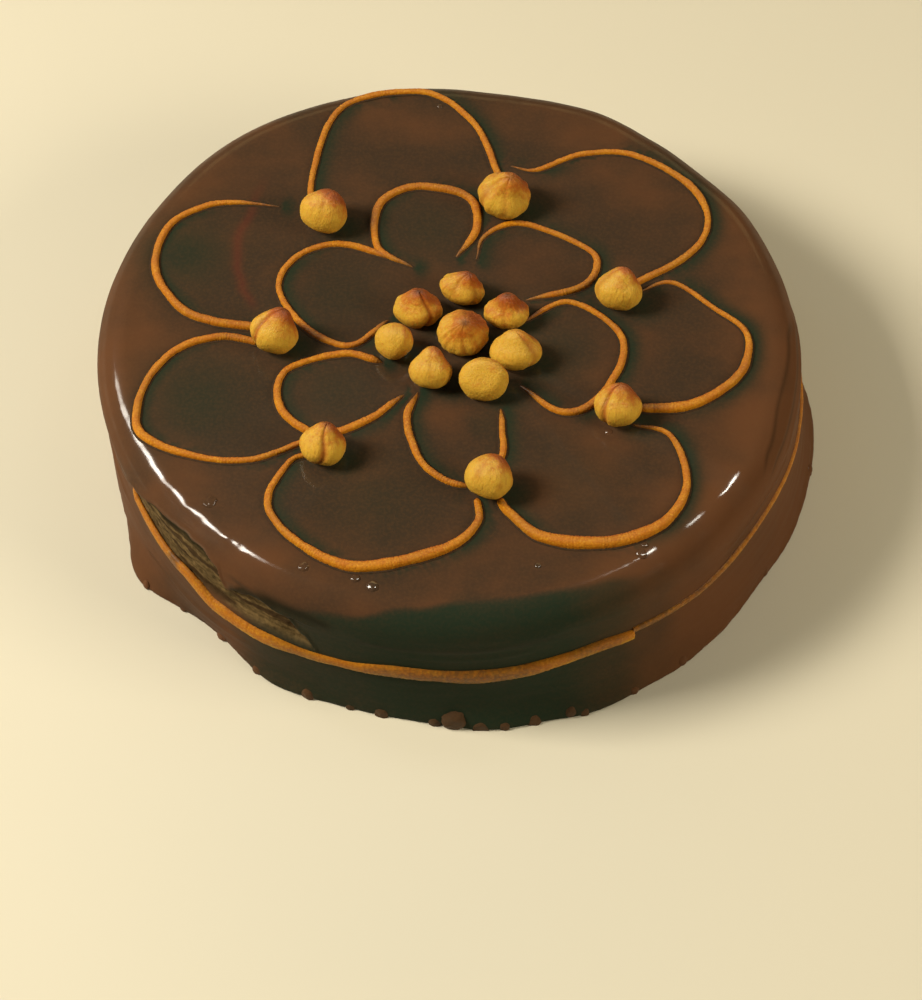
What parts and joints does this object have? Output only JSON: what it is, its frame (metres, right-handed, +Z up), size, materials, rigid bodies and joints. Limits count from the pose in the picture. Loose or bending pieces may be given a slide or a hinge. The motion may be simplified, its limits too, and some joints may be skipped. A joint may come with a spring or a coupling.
{
  "type": "chocolate cake",
  "caption": "Round uncut chocolate cake under a dark poured glaze, with caramel icing piped in petal loops on top and in a ring round the side, and whole toasted hazelnuts.",
  "frame": {"origin": "middle of the cake's round foot, on the surface that it stands on", "axes": "+Z up; the front, where the widest icing loops lie, faces -Y; +X is to the right seen from the front"},
  "size_m": [0.2137, 0.2133, 0.0618],
  "materials": {
    "chocolate_glaze": "satin-glossy poured dark chocolate glaze",
    "hazelnut": "dry toasted kernel, darker orange-brown at the tip",
    "caramel_icing": "piped caramel-coloured icing, finely ribbed; fused to glazed_cake"
  },
  "bodies": {
    "root": {"glazed_cake": "chocolate_glaze", "hazelnut_petal_1": "hazelnut", "hazelnut_petal_2": "hazelnut", "hazelnut_petal_3": "hazelnut", "hazelnut_petal_4": "hazelnut", "hazelnut_petal_5": "hazelnut", "hazelnut_petal_6": "hazelnut", "hazelnut_petal_7": "hazelnut", "hazelnut_centre_1": "hazelnut", "hazelnut_centre_2": "hazelnut", "hazelnut_centre_3": "hazelnut", "hazelnut_centre_4": "hazelnut", "hazelnut_centre_5": "hazelnut", "hazelnut_centre_6": "hazelnut", "hazelnut_centre_7": "hazelnut", "hazelnut_centre_8": "hazelnut"}
  },
  "joints": []
}
